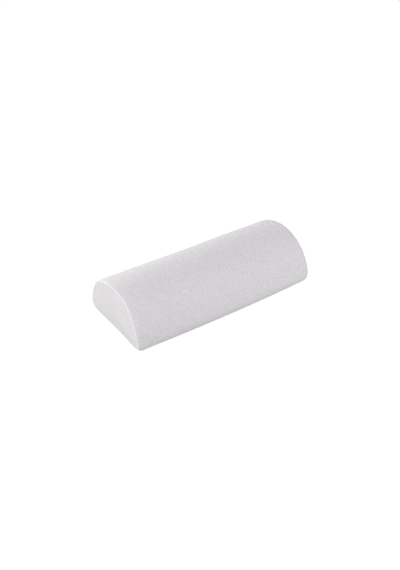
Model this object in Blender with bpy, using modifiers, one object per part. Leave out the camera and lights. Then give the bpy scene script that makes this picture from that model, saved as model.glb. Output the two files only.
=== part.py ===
"""Half-round bolster: a foam core of D-shaped section, a thin liner and a zipped fabric cover.

Metres, +Z up. X runs along the bolster, the front is -Y and the zip is low on the rear, at +Y.
The origin is the centre of the base. Left is -X and right is +X, as seen from the front.
"""

import math
from collections import namedtuple

import bmesh
import bpy
from mathutils import Matrix, Vector

COLLECTION = "half_round_bolster"

# Outer form of the filled cover
LENGTH = 0.433
HEIGHT = 0.106
DOME_RADIUS = 0.100
BASE_CORNER_RADIUS = 0.0215
END_ROUNDING = 0.012
END_CROWN = 0.0034

# Layers, from the outside in
FIT_GAP = 0.0003
COVER_THICKNESS = 0.0018
LINER_THICKNESS = 0.0005
TAPE_THICKNESS = 0.0006

# Seams: the end seam runs round the end rounding, this far from the side towards the end face
SEAM_TURN = math.radians(57)
SEAM_TUCK = 0.0006
SEAM_TUCK_TURN = math.radians(19)
FACE_TUCK = 0.0002
PIPING_RADIUS = 0.0010
PIPING_SEAT = 0.0004
FRONT_SEAM_INSET = 0.006

# Zip, measured across the chain from its centre line unless a comment says otherwise
ZIP_ABOVE_CORNER = 0.0115  # along the surface, from the end of the base corner's rounding
ZIP_OPENING = 0.0050
TAPE_EDGE = 0.0022
TAPE_REACH = 0.0140
RECESS_RAMP = 0.0050
TAB_LENGTH = 0.0130  # along X, on the straight part of the body
TOOTH_PITCH = 0.0030
TOOTH_HEIGHT = 0.0024
TOOTH_NECK = 0.0008
TOOTH_HEAD = 0.0013
TOOTH_TIP = 0.0009
HEAD_REACH = 0.0003
SPINE_INNER = 0.0011
SPINE_WIDTH = 0.0008
STOP_LENGTH = 0.0030
STOP_REACH = 0.0034
STOP_WALL = 0.0006

# Zip slider and its pull, along X from the slider's middle
SLIDER_LENGTH = 0.0110
SLIDER_PLATE = 0.0008
SLIDER_WALL = 0.0009
SLIDER_FLARE = 0.0012
FLARE_START = -0.0005
FLARE_END = 0.0020
NECK_START = 0.0014
NECK_END = 0.0050
NECK_WIDTH = 0.0024
BRIDGE_LENGTH = 0.0060
BRIDGE_WIDTH = 0.0018
BRIDGE_LEG = 0.0009
BRIDGE_TOP = 0.0007
BRIDGE_CHAMFER = 0.0005
BRIDGE_WINDOW = 0.0017
PULL_LENGTH = 0.0240
PULL_THICKNESS = 0.0010
PULL_EYE_WIDTH = 0.0056
PULL_WAIST_WIDTH = 0.0044
PULL_TIP_WIDTH = 0.0064
PULL_SLOT_LENGTH = 0.0034
PULL_SLOT_WIDTH = 0.0030
PULL_HOLE_RADIUS = 0.0012
PULL_CORNER = 0.0010
SLIDER_CORNER = 0.0005
CUT_OVERRUN = 0.0010

# Facets of the section and of the end rounding
DOME_FACETS = 26
CORNER_FACETS = 5
BASE_FACETS = 6
END_TURNS = (math.radians(19), math.radians(38))
FACE_RINGS = (0.88, 0.62, 0.32)
LEAST_TURN = math.radians(1.6)
SHARP_ANGLE = math.radians(35)
PIPING_SIDES = 8
CORNER_STEPS = 3
HOLE_FACETS = 12

# Places worked out from the sizes above
DOME_CENTRE_Z = HEIGHT - DOME_RADIUS
CORNER_RISE = BASE_CORNER_RADIUS - DOME_CENTRE_Z
CORNER_SWING = DOME_RADIUS - BASE_CORNER_RADIUS
CORNER_CENTRE_Y = math.sqrt(CORNER_SWING**2 - CORNER_RISE**2)
CORNER_TURN = math.asin(CORNER_RISE / CORNER_SWING)
SEAM_OUT = END_ROUNDING * math.sin(SEAM_TURN)
SEAM_INSET = END_ROUNDING * (1 - math.cos(SEAM_TURN))
HALF_STRAIGHT = LENGTH / 2 - END_CROWN - SEAM_OUT
PIPING_ARC = END_ROUNDING - PIPING_SEAT - SEAM_TUCK
PIPING_INSET = END_ROUNDING - PIPING_ARC * math.cos(SEAM_TURN)
FACE_EDGE = PIPING_INSET + PIPING_RADIUS + FIT_GAP
INNER_DEPTH = COVER_THICKNESS + FIT_GAP
CHAIN_DEPTH = INNER_DEPTH + TAPE_THICKNESS / 2
SLIDER_INNER_HEIGHT = TOOTH_HEIGHT + 2 * FIT_GAP
SLIDER_HEIGHT = SLIDER_INNER_HEIGHT + 2 * SLIDER_PLATE
SLIDER_CHANNEL = SPINE_INNER + SPINE_WIDTH + FIT_GAP
SLIDER_TAIL_WIDTH = SLIDER_CHANNEL + SLIDER_WALL
SLIDER_HEAD_WIDTH = SLIDER_TAIL_WIDTH + SLIDER_FLARE
TAPE_SLOT = TAPE_THICKNESS + 2 * FIT_GAP
TAPE_RECESS = TAPE_THICKNESS + FIT_GAP
SLIDER_RECESS = CHAIN_DEPTH + SLIDER_HEIGHT / 2 + FIT_GAP - INNER_DEPTH
RECESS_FLOOR = SLIDER_HEAD_WIDTH + FIT_GAP
ZIP_TURN = CORNER_TURN + ZIP_ABOVE_CORNER / DOME_RADIUS
TAB_START = HALF_STRAIGHT - TAB_LENGTH
BODY_PLACES = (-HALF_STRAIGHT, -TAB_START, 0.0, TAB_START, HALF_STRAIGHT)
CHAIN_END = TAB_START - FIT_GAP
SLIDER_REST_X = CHAIN_END - STOP_LENGTH - FIT_GAP - SLIDER_LENGTH / 2
PULL_AXIS_Z = SLIDER_HEIGHT / 2 + BRIDGE_WINDOW / 2

QUARTER_TURN = math.pi / 2
DOWN_REAR = -QUARTER_TURN
DOWN_FRONT = math.pi + QUARTER_TURN
STRETCH_X = Matrix(((0, 0, 1, 0), (1, 0, 0, 0), (0, 1, 0, 0), (0, 0, 0, 1)))
STRETCH_Y = Matrix(((1, 0, 0, 0), (0, 0, -1, 0), (0, 1, 0, 0), (0, 0, 0, 1)))

# A spoke is one place on the D-shaped outline: the centre and radius of its arc, and its direction.
Spoke = namedtuple("Spoke", "y z radius turn")

MATERIALS = {
    "cover_fabric": ((0.74, 0.72, 0.74), 0.95, 0.0),
    "seam_piping": ((0.80, 0.78, 0.80), 0.90, 0.0),
    "liner_fabric": ((0.82, 0.80, 0.76), 0.90, 0.0),
    "foam": ((0.85, 0.83, 0.72), 1.00, 0.0),
    "zip_tape": ((0.76, 0.75, 0.76), 0.85, 0.0),
    "zip_teeth": ((0.82, 0.82, 0.82), 0.45, 0.0),
    "zip_metal": ((0.62, 0.61, 0.60), 0.30, 1.0),
}


def clear_scene():
    for item in list(bpy.data.objects):
        bpy.data.objects.remove(item, do_unlink=True)


def make_collection(name):
    collection = bpy.data.collections.new(name)
    bpy.context.scene.collection.children.link(collection)
    return collection


def make_material(name):
    colour, roughness, metallic = MATERIALS[name]
    material = bpy.data.materials.new(name)
    material.use_nodes = True
    shader = material.node_tree.nodes["Principled BSDF"]
    shader.inputs["Base Color"].default_value = (*colour, 1.0)
    shader.inputs["Roughness"].default_value = roughness
    shader.inputs["Metallic"].default_value = metallic
    return material


def add_part(parts, name, mesh, material, sharp_angle=SHARP_ANGLE):
    """Link one sub-part's mesh as an object with its own material, shaded smooth below the sharp angle."""
    item = bpy.data.objects.new(name, mesh)
    own = material.copy()
    own.name = name
    mesh.materials.clear()
    mesh.materials.append(own)
    if sharp_angle:
        mesh.shade_smooth()
        mesh.set_sharp_from_angle(angle=sharp_angle)
    parts.objects.link(item)
    return item


# The D-shaped section

def spread(first, last, count):
    """Evenly spaced values from first to last, both included."""
    return [first + (last - first) * i / count for i in range(count + 1)]


def section_turns(first, last):
    """Outward directions from first to last, on the section's shared facets and at the recess's steps."""
    front = math.pi - CORNER_TURN
    shared = spread(DOWN_REAR, 0.0, CORNER_FACETS) + spread(CORNER_TURN, front, DOME_FACETS)
    shared += spread(math.pi, DOWN_FRONT, CORNER_FACETS)
    steps = (RECESS_FLOOR, TAPE_REACH + FIT_GAP, TAPE_REACH + RECESS_RAMP)
    folds = [turn_from_zip(side * step) for step in steps for side in (-1, 1)]
    wanted = [first, last] + [turn for turn in folds if first < turn < last]
    between = [t for t in shared if first < t < last and min(abs(t - w) for w in wanted) > LEAST_TURN]
    return sorted(wanted + between)


def spoke_at(turn):
    """The spoke whose outward direction is turn, from down at the rear, over the top, to down at the front."""
    if turn < CORNER_TURN:
        return Spoke(CORNER_CENTRE_Y, BASE_CORNER_RADIUS, BASE_CORNER_RADIUS, turn)
    if turn > math.pi - CORNER_TURN:
        return Spoke(-CORNER_CENTRE_Y, BASE_CORNER_RADIUS, BASE_CORNER_RADIUS, turn)
    return Spoke(0.0, DOME_CENTRE_Z, DOME_RADIUS, turn)


def base_spoke(y):
    return Spoke(y, BASE_CORNER_RADIUS, BASE_CORNER_RADIUS, DOWN_REAR)


def turn_from_zip(distance):
    """The outward direction at a distance along the surface from the zip's centre line, up or down."""
    if distance > -ZIP_ABOVE_CORNER:
        return ZIP_TURN + distance / DOME_RADIUS
    return CORNER_TURN + (distance + ZIP_ABOVE_CORNER) / BASE_CORNER_RADIUS


def distance_from_zip(spoke):
    if spoke.turn >= CORNER_TURN:
        return abs(spoke.turn - ZIP_TURN) * DOME_RADIUS
    return ZIP_ABOVE_CORNER + (CORNER_TURN - spoke.turn) * BASE_CORNER_RADIUS


def closed_section():
    """Spokes all round the section, from under the rear corner over the dome and back across the base."""
    spokes = [spoke_at(turn) for turn in section_turns(DOWN_REAR, DOWN_FRONT)]
    base = spread(-CORNER_CENTRE_Y, CORNER_CENTRE_Y, BASE_FACETS)[1:-1]
    return spokes + [base_spoke(y) for y in base]


def zip_recess(spoke):
    """How much deeper the fill lies behind the slider and the tapes than elsewhere."""
    distance = distance_from_zip(spoke)
    tape_end = TAPE_REACH + FIT_GAP
    if distance <= RECESS_FLOOR:
        return SLIDER_RECESS
    if distance <= tape_end:
        share = (distance - RECESS_FLOOR) / (tape_end - RECESS_FLOOR)
        return SLIDER_RECESS + share * (TAPE_RECESS - SLIDER_RECESS)
    share = (distance - tape_end) / (RECESS_RAMP - FIT_GAP)
    return TAPE_RECESS * max(0.0, 1.0 - share)


# Surfaces at a depth below the cover's outer face

def place(spoke, x, inset):
    reach = spoke.radius - inset
    return Vector((x, spoke.y + reach * math.cos(spoke.turn), spoke.z + reach * math.sin(spoke.turn)))


def seam_tuck(end_turn):
    """The stitching draws every layer in along the end seam."""
    return SEAM_TUCK * max(0.0, 1.0 - abs(end_turn - SEAM_TURN) / SEAM_TUCK_TURN)


def face_turn(depth):
    """How far round the end rounding a layer at this depth meets the plane of its own end face."""
    return math.asin((SEAM_OUT - depth) / (END_ROUNDING - depth))


def row_at(spokes, along, end_turn, depth, recessed=False):
    """One row of points round the section: along is its x on the straight part, and end_turn is how far
    it has gone round the end rounding from there. Beyond the tabs only the tapes need a recess."""
    deepest = SLIDER_RECESS if abs(along) < HALF_STRAIGHT else TAPE_RECESS
    row = []
    for spoke in spokes:
        below = depth + seam_tuck(end_turn)
        if recessed:
            below += min(zip_recess(spoke), deepest)
        radius = END_ROUNDING - below
        x = along + math.copysign(radius * math.sin(end_turn), along)
        row.append(place(spoke, x, END_ROUNDING - radius * math.cos(end_turn)))
    return row


def body_rows(spokes, depth, last_turn, recessed=False):
    """Rows from the left end seam to the right one."""
    turns = [*END_TURNS, last_turn]
    places = [(-HALF_STRAIGHT, turn) for turn in reversed(turns)]
    places += [(x, 0.0) for x in BODY_PLACES]
    places += [(HALF_STRAIGHT, turn) for turn in turns]
    return [row_at(spokes, along, turn, depth, recessed) for along, turn in places]


def face_rows(spokes, side, depth, recessed=False):
    """Rings of an end face from its tucked edge beside the piping to its crown, and the point at its middle."""
    x = side * (HALF_STRAIGHT + SEAM_OUT - depth)
    recesses = [min(zip_recess(spoke), TAPE_RECESS) if recessed else 0.0 for spoke in spokes]
    edge_x = x - side * FACE_TUCK
    rows = [[place(spoke, edge_x, FACE_EDGE + recess) for spoke, recess in zip(spokes, recesses)]]
    rim = [place(spoke, x, SEAM_INSET + recess) for spoke, recess in zip(spokes, recesses)]
    middle = Vector((x, 0.0, HEIGHT / 2))
    for share in FACE_RINGS:
        bulge = Vector((side * END_CROWN * (1 - share**2), 0.0, 0.0))
        rows.append([middle + (point - middle) * share + bulge for point in rim])
    tip = middle + Vector((side * END_CROWN, 0.0, 0.0))
    return rows, tip


def loft(name, rows, ring=False, loop=False, start_tip=None, end_tip=None, split=False):
    """A skin through rows of points, which run anticlockwise seen from +X, the rows following +X. Layers
    that lie together over twisted quads are split, so that they fold along the same diagonals."""
    mesh = bpy.data.meshes.new(name)
    bm = bmesh.new()
    grid = [[bm.verts.new(point) for point in row] for row in rows]
    count = len(grid[0])
    steps = [(i, (i + 1) % count) for i in range(count if ring else count - 1)]
    bands = list(zip(grid, grid[1:]))
    if loop:
        bands.append((grid[-1], grid[0]))
    for near, far in bands:
        for i, j in steps:
            quad = (near[i], near[j], far[j], far[i])
            halves = (quad[:3], (quad[0], *quad[2:])) if split else (quad,)
            for face in halves:
                bm.faces.new(face)
    if start_tip is not None:
        tip = bm.verts.new(start_tip)
        for i, j in steps:
            bm.faces.new((tip, grid[0][j], grid[0][i]))
    if end_tip is not None:
        tip = bm.verts.new(end_tip)
        for i, j in steps:
            bm.faces.new((grid[-1][i], grid[-1][j], tip))
    bm.normal_update()
    bm.to_mesh(mesh)
    bm.free()
    return mesh


def thicken(item, thickness):
    """Give an outer skin its wall, inwards."""
    wall = item.modifiers.new("wall", "SOLIDIFY")
    wall.thickness = thickness
    wall.offset = -1.0
    wall.use_even_offset = True
    return item


def end_skin(name, side, depth, spokes):
    rows, tip = face_rows(spokes, side, depth)
    if side > 0:
        return loft(name, rows, ring=True, end_tip=tip)
    return loft(name, rows[::-1], ring=True, start_tip=tip)


# Fill and liner

def make_foam(parts, material):
    spokes = closed_section()
    depth = INNER_DEPTH + LINER_THICKNESS + FIT_GAP
    rows = body_rows(spokes, depth, face_turn(depth), recessed=True)
    left, left_tip = face_rows(spokes, -1, depth, recessed=True)
    right, right_tip = face_rows(spokes, 1, depth, recessed=True)
    rows = left[::-1] + rows + right
    mesh = loft("foam_core", rows, ring=True, start_tip=left_tip, end_tip=right_tip, split=True)
    return add_part(parts, "foam_core", mesh, material)


def make_liner(parts, material):
    rows = body_rows(closed_section(), INNER_DEPTH, face_turn(INNER_DEPTH), recessed=True)
    wrap = loft("liner_wrap", rows, ring=True, split=True)
    thicken(add_part(parts, "liner_wrap", wrap, material), LINER_THICKNESS)
    for side, word in ((-1, "left"), (1, "right")):
        name = f"liner_{word}_end"
        end = end_skin(name, side, INNER_DEPTH, closed_section())
        thicken(add_part(parts, name, end, material), LINER_THICKNESS)


# Cover

def seam_margin():
    """How far round the end rounding a panel's edge stays from the middle of the piping."""
    return (PIPING_RADIUS + FIT_GAP) / PIPING_ARC


def make_top_panel(parts, material):
    """From the zip's upper side over the dome, round the front corner and a little way under the base."""
    turns = section_turns(turn_from_zip(ZIP_OPENING), DOWN_FRONT)
    spokes = [spoke_at(turn) for turn in turns]
    spokes.append(base_spoke(-CORNER_CENTRE_Y + FRONT_SEAM_INSET))
    mesh = loft("cover_top_panel", body_rows(spokes, 0.0, SEAM_TURN - seam_margin()))
    thicken(add_part(parts, "cover_top_panel", mesh, material), COVER_THICKNESS)


def make_base_panel(parts, material):
    """From the hidden front seam across the flat base and round the rear corner to the zip."""
    first = -CORNER_CENTRE_Y + FRONT_SEAM_INSET + FIT_GAP
    spokes = [base_spoke(y) for y in spread(first, CORNER_CENTRE_Y, BASE_FACETS)[:-1]]
    turns = section_turns(DOWN_REAR, turn_from_zip(-ZIP_OPENING))
    spokes += [spoke_at(turn) for turn in turns]
    mesh = loft("cover_base_panel", body_rows(spokes, 0.0, SEAM_TURN - seam_margin()))
    thicken(add_part(parts, "cover_base_panel", mesh, material), COVER_THICKNESS)


def make_end_panel(parts, material, side, word):
    name = f"cover_{word}_end_panel"
    mesh = end_skin(name, side, 0.0, closed_section())
    thicken(add_part(parts, name, mesh, material), COVER_THICKNESS)


def make_piping(parts, material, side, word):
    """A round cord in its own fabric, bedded in the end seam all round the D."""
    out = PIPING_ARC * math.sin(SEAM_TURN)
    spokes = closed_section()
    rows = []
    for i in range(PIPING_SIDES):
        angle = side * 2 * math.pi * i / PIPING_SIDES
        x = side * (HALF_STRAIGHT + out + PIPING_RADIUS * math.sin(angle))
        rows.append([place(spoke, x, PIPING_INSET - PIPING_RADIUS * math.cos(angle)) for spoke in spokes])
    mesh = loft(f"{word}_piping", rows, ring=True, loop=True)
    add_part(parts, f"{word}_piping", mesh, material, sharp_angle=math.pi)


def make_tab(parts, material, side, word):
    """The fabric tab that closes the zip opening between the chain's end and the end seam."""
    reach = ZIP_OPENING - FIT_GAP
    turns = section_turns(turn_from_zip(-reach), turn_from_zip(reach))
    spokes = [spoke_at(turn) for turn in turns]
    places = [(TAB_START, 0.0), (HALF_STRAIGHT, 0.0)]
    places += [(HALF_STRAIGHT, turn) for turn in (*END_TURNS, SEAM_TURN - seam_margin())]
    rows = [row_at(spokes, side * along, turn, 0.0) for along, turn in places]
    mesh = loft(f"zip_{word}_tab", rows if side > 0 else rows[::-1])
    thicken(add_part(parts, f"zip_{word}_tab", mesh, material), COVER_THICKNESS)


# Zip: its pieces hang from an empty at the middle of the chain, x along it and z outwards

def make_tape(parts, material, side, word):
    edges = sorted((side * TAPE_EDGE, side * TAPE_REACH))
    turns = section_turns(turn_from_zip(edges[0]), turn_from_zip(edges[1]))
    spokes = [spoke_at(turn) for turn in turns]
    mesh = loft(f"zip_{word}_tape", body_rows(spokes, INNER_DEPTH, SEAM_TURN - seam_margin()))
    thicken(add_part(parts, f"zip_{word}_tape", mesh, material), TAPE_THICKNESS)


def make_zip_line(parts):
    line = bpy.data.objects.new("zip_line", None)
    spoke = spoke_at(ZIP_TURN)
    line.location = place(spoke, 0.0, CHAIN_DEPTH)
    line.rotation_euler = (ZIP_TURN - QUARTER_TURN, 0.0, 0.0)
    parts.objects.link(line)
    return line


def hang(item, parent, location=(0.0, 0.0, 0.0)):
    item.parent = parent
    item.location = location
    return item


def plate(name, outline, thickness, turn_by=None):
    """A flat piece: a filled outline with a thickness, centred on its own plane, as a welded mesh."""
    curve = bpy.data.curves.new(name, "CURVE")
    curve.dimensions = "2D"
    curve.fill_mode = "BOTH"
    curve.extrude = thickness / 2
    spline = curve.splines.new("POLY")
    spline.points.add(len(outline) - 1)
    for point, (u, v) in zip(spline.points, outline):
        point.co = (u, v, 0.0, 1.0)
    spline.use_cyclic_u = True
    drawn = bpy.data.objects.new(name, curve)
    bpy.context.scene.collection.objects.link(drawn)
    graph = bpy.context.evaluated_depsgraph_get()
    mesh = bpy.data.meshes.new_from_object(drawn.evaluated_get(graph))
    bpy.data.objects.remove(drawn, do_unlink=True)
    bm = bmesh.new()
    bm.from_mesh(mesh)
    bmesh.ops.remove_doubles(bm, verts=bm.verts, dist=1e-7)
    bmesh.ops.recalc_face_normals(bm, faces=bm.faces)
    if turn_by is not None:
        bmesh.ops.transform(bm, matrix=turn_by, verts=bm.verts)
    bm.to_mesh(mesh)
    bm.free()
    mesh.name = name
    return mesh


def mirrored(half):
    """A closed outline from the points of its +v half, which run from -u to +u."""
    return half + [(u, -v) for u, v in reversed(half)]


def comb_outline(first, last, phase):
    """A spine and its teeth from first to last along u: each tooth widens from its neck to its head,
    which hooks behind the heads of the other row, and narrows again to its tip."""
    spine = SPINE_INNER + SPINE_WIDTH
    tooth = [
        (TOOTH_NECK / 2, SPINE_INNER),
        (TOOTH_HEAD / 2, -HEAD_REACH),
        (TOOTH_TIP / 2, FIT_GAP - SPINE_INNER),
    ]
    outline = [(first, spine), (first, SPINE_INNER)]
    middle = first + phase + TOOTH_HEAD / 2
    while middle + TOOTH_HEAD / 2 < last:
        outline += [(middle - u, v) for u, v in tooth]
        outline += [(middle + u, v) for u, v in reversed(tooth)]
        middle += TOOTH_PITCH
    return outline + [(last, SPINE_INNER), (last, spine)]


def make_teeth(parts, material, line, side, word):
    """One row of moulded teeth, which mesh with the other row half a pitch along."""
    first = -CHAIN_END + STOP_LENGTH + FIT_GAP
    last = SLIDER_REST_X + NECK_START - FIT_GAP
    phase = FIT_GAP if side > 0 else FIT_GAP + TOOTH_PITCH / 2
    outline = [(u, -side * v) for u, v in comb_outline(first, last, phase)]
    mesh = plate(f"zip_{word}_teeth", outline, TOOTH_HEIGHT)
    hang(add_part(parts, f"zip_{word}_teeth", mesh, material), line)


def make_bottom_stop(parts, material, line):
    """A bar between the tapes with lips over and under their edges."""
    web = TAPE_EDGE - FIT_GAP
    half = TAPE_SLOT / 2 + STOP_WALL
    quarter = [(web, TAPE_SLOT / 2), (STOP_REACH, TAPE_SLOT / 2), (STOP_REACH, half)]
    upper = quarter + [(-u, v) for u, v in reversed(quarter)]
    outline = upper + [(-u, -v) for u, v in upper]
    mesh = plate("zip_bottom_stop", outline, STOP_LENGTH, STRETCH_X)
    item = add_part(parts, "zip_bottom_stop", mesh, material)
    hang(item, line, (-CHAIN_END + STOP_LENGTH / 2, 0.0, 0.0))


def make_top_stop(parts, material, line, side, word):
    """A clip folded over one tape's edge, which the slider's shoulder meets when the zip is closed."""
    web = TAPE_EDGE - FIT_GAP
    half = TAPE_SLOT / 2 + STOP_WALL
    inner = web - SPINE_WIDTH
    outline = [(inner, -half), (STOP_REACH, -half), (STOP_REACH, -TAPE_SLOT / 2), (web, -TAPE_SLOT / 2)]
    outline += [(u, -v) for u, v in reversed(outline)]
    outline = [(-side * u, v) for u, v in outline]
    name = f"zip_top_stop_{word}"
    mesh = plate(name, outline, STOP_LENGTH, STRETCH_X)
    hang(add_part(parts, name, mesh, material), line, (CHAIN_END - STOP_LENGTH / 2, 0.0, 0.0))


def rounded(outline, radius, steps=CORNER_STEPS):
    """An outline with an arc of the given radius at every corner."""
    points = [Vector(point) for point in outline]
    result = []
    for i, corner in enumerate(points):
        before = (points[i - 1] - corner).normalized()
        after = (points[(i + 1) % len(points)] - corner).normalized()
        half = before.angle(after) / 2
        middle = corner + (before + after).normalized() * (radius / math.sin(half))
        start = corner + before * (radius / math.tan(half)) - middle
        sweep = (math.pi - 2 * half) * math.copysign(1.0, before.cross(after))
        for step in range(steps + 1):
            angle = -sweep * step / steps
            spin = Matrix.Rotation(angle, 2)
            result.append(tuple(middle + spin @ start))
    return result


def add_boolean(item, other, operation):
    step = item.modifiers.new(other.name, "BOOLEAN")
    step.object = other
    step.operation = operation
    step.solver = "EXACT"


def tool_piece(tools, name, mesh, parent, location=(0.0, 0.0, 0.0)):
    piece = bpy.data.objects.new(name, mesh)
    piece.hide_render = True
    piece.display_type = "WIRE"
    tools.objects.link(piece)
    return hang(piece, parent, location)


def slider_outline(tail, head, length, overrun=0.0):
    """Half of the slider's plan: straight at the tail and flared at the head."""
    end = length / 2 + overrun
    return [(-end, tail), (FLARE_START, tail), (FLARE_END, head), (end, head)]


def bridge_mesh():
    """The arch on the slider's back, as an outline in XZ."""
    low = SLIDER_HEIGHT / 2 - SLIDER_PLATE / 2
    window = SLIDER_HEIGHT / 2 + BRIDGE_WINDOW
    top = window + BRIDGE_TOP
    outer = BRIDGE_LENGTH / 2
    inner = outer - BRIDGE_LEG
    outline = [(inner, low), (outer, low), (outer, top - BRIDGE_CHAMFER), (outer - BRIDGE_CHAMFER, top)]
    outline += [(-u, v) for u, v in reversed(outline)]
    outline += [(-inner, window), (inner, window)]
    return plate("slider_bridge", outline, BRIDGE_WIDTH, STRETCH_Y)


def neck_outline():
    """The wedge that parts the teeth: a point towards the tail and a blunt head."""
    half = NECK_WIDTH / 2
    shoulder = (NECK_START + NECK_END) / 2
    return [(NECK_START, 0.0), (shoulder, -half), (NECK_END, -half), (NECK_END, half), (shoulder, half)]


def make_slider(parts, tools, material, line):
    """Two plates joined by the neck, flanges turned in round the chain, and the bridge for the pull."""
    half = slider_outline(SLIDER_TAIL_WIDTH, SLIDER_HEAD_WIDTH, SLIDER_LENGTH)
    plan = rounded(mirrored(half), SLIDER_CORNER)
    item = add_part(parts, "zip_slider", plate("zip_slider", plan, SLIDER_HEIGHT), material, None)
    hang(item, line, (SLIDER_REST_X, 0.0, 0.0))
    wall = SLIDER_WALL
    inside = slider_outline(SLIDER_TAIL_WIDTH - wall, SLIDER_HEAD_WIDTH - wall, SLIDER_LENGTH, CUT_OVERRUN)
    channel = plate("slider_channel", mirrored(inside), SLIDER_INNER_HEIGHT)
    over = SLIDER_LENGTH
    slot = plate("slider_tape_slot", [(-over, -over), (over, -over), (over, over), (-over, over)], TAPE_SLOT)
    neck = plate("slider_neck", neck_outline(), SLIDER_INNER_HEIGHT + SLIDER_PLATE)
    add_boolean(item, tool_piece(tools, "slider_channel", channel, item), "DIFFERENCE")
    add_boolean(item, tool_piece(tools, "slider_tape_slot", slot, item), "DIFFERENCE")
    add_boolean(item, tool_piece(tools, "slider_neck", neck, item), "UNION")
    add_boolean(item, tool_piece(tools, "slider_bridge", bridge_mesh(), item), "UNION")
    return item


def pull_outline():
    """Half of the pull's plan, from its tip at -X to the crossbar that turns in the bridge."""
    tip = PULL_THICKNESS / 2 - PULL_LENGTH
    bar = PULL_THICKNESS / 2
    eye_end = bar - PULL_THICKNESS - PULL_SLOT_LENGTH
    return [
        (tip, PULL_TIP_WIDTH / 2),
        (tip / 2, PULL_WAIST_WIDTH / 2),
        (eye_end, PULL_EYE_WIDTH / 2),
        (bar, PULL_EYE_WIDTH / 2),
    ]


def make_pull(parts, tools, material, slider):
    """A flat tab whose crossbar turns in the slider's bridge, lying back over the closed chain."""
    plan = rounded(mirrored(pull_outline()), PULL_CORNER)
    item = add_part(parts, "zip_pull", plate("zip_pull", plan, PULL_THICKNESS), material, None)
    hang(item, slider, (0.0, 0.0, PULL_AXIS_Z))
    near = -PULL_THICKNESS / 2
    far = near - PULL_SLOT_LENGTH
    half = PULL_SLOT_WIDTH / 2
    slot = plate("pull_slot", [(far, -half), (near, -half), (near, half), (far, half)], 4 * PULL_THICKNESS)
    add_boolean(item, tool_piece(tools, "pull_slot", slot, item), "DIFFERENCE")
    turns = [2 * math.pi * i / HOLE_FACETS for i in range(HOLE_FACETS)]
    ring = [(PULL_HOLE_RADIUS * math.cos(t), PULL_HOLE_RADIUS * math.sin(t)) for t in turns]
    hole = plate("pull_hole", ring, 4 * PULL_THICKNESS)
    hole_x = PULL_THICKNESS / 2 - PULL_LENGTH + PULL_TIP_WIDTH / 2
    add_boolean(item, tool_piece(tools, "pull_hole", hole, item, (hole_x, 0.0, 0.0)), "DIFFERENCE")
    return item


def main():
    clear_scene()
    parts = make_collection(COLLECTION)
    tools = make_collection("cutters")
    paint = {name: make_material(name) for name in MATERIALS}
    make_foam(parts, paint["foam"])
    make_liner(parts, paint["liner_fabric"])
    make_top_panel(parts, paint["cover_fabric"])
    make_base_panel(parts, paint["cover_fabric"])
    line = make_zip_line(parts)
    for side, word in ((-1, "left"), (1, "right")):
        make_end_panel(parts, paint["cover_fabric"], side, word)
        make_piping(parts, paint["seam_piping"], side, word)
        make_tab(parts, paint["cover_fabric"], side, word)
    for side, word in ((1, "upper"), (-1, "lower")):
        make_tape(parts, paint["zip_tape"], side, word)
        make_teeth(parts, paint["zip_teeth"], line, side, word)
        make_top_stop(parts, paint["zip_metal"], line, side, word)
    make_bottom_stop(parts, paint["zip_metal"], line)
    slider = make_slider(parts, tools, paint["zip_metal"], line)
    make_pull(parts, tools, paint["zip_metal"], slider)


main()
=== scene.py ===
"""Half-round bolster: a zipped fabric cover with piped end seams over a firm foam core.

Metres, in the part's frame: the bolster lies along X with its left end at -X, the zip is low on the
rear at +Y, and the base is on z = 0.
"""

import math

import bmesh
import bpy
import numpy as np
from mathutils import Matrix, Vector, noise
from mathutils.bvhtree import BVHTree
from mathutils.kdtree import KDTree


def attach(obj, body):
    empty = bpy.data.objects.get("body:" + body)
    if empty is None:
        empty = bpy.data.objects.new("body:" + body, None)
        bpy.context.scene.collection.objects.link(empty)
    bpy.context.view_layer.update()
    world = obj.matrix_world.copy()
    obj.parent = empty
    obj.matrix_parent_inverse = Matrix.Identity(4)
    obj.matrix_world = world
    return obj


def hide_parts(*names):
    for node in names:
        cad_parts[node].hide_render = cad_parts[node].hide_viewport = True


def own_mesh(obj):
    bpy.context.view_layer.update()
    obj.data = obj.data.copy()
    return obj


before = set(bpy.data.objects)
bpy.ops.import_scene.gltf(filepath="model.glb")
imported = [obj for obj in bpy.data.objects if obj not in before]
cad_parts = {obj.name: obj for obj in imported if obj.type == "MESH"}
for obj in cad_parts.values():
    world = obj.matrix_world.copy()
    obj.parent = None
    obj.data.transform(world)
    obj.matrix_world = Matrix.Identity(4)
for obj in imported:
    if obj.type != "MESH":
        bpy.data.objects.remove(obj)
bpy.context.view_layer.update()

# Outer form of the filled cover
LENGTH = 0.433
HEIGHT = 0.106
DOME_R = 0.100
CORNER_R = 0.0215
END_R = 0.0030
END_CROWN = 0.0034
SEAM_TURN = math.radians(57)
DOME_Z = HEIGHT - DOME_R
CORNER_Y = math.sqrt((DOME_R - CORNER_R) ** 2 - (CORNER_R - DOME_Z) ** 2)
CORNER_TURN = math.asin((CORNER_R - DOME_Z) / (DOME_R - CORNER_R))
SEAM_OUT = END_R * math.sin(SEAM_TURN)
SEAM_IN = END_R * (1 - math.cos(SEAM_TURN))
HALF_STRAIGHT = LENGTH / 2 - END_CROWN - SEAM_OUT
SEAM_W = HALF_STRAIGHT + END_R * SEAM_TURN

# Layers, by their depth below the outer form
COVER_THICKNESS = 0.0018
FIT_GAP = 0.0003
INNER_DEPTH = COVER_THICKNESS + FIT_GAP
LINER_SPACE = 0.0009
FOAM_DEPTH = INNER_DEPTH + LINER_SPACE
TAPE_THICKNESS = 0.0006

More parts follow.
